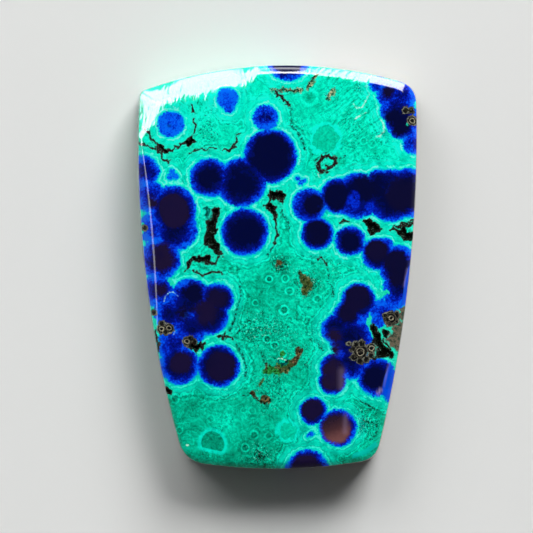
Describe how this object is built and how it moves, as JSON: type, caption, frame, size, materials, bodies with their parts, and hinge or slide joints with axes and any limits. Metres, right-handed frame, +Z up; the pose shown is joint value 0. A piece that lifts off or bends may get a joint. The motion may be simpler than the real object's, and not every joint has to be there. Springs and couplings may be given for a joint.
{
  "type": "azurite malachite freeform cabochon",
  "caption": "Polished four-sided tapering freeform stone: nearly flat bevelled face, low wall, flat back to rest or be set on.",
  "frame": {"origin": "middle of the flat back, which is the lowest plane", "axes": "+Z up out of the polished face, +Y towards the wide end, +X to the right seen from above"},
  "size_m": [0.0294, 0.0424, 0.006],
  "materials": {
    "azurite_malachite": "polished"
  },
  "bodies": {
    "root": {"polished_stone": "azurite_malachite"}
  },
  "joints": []
}
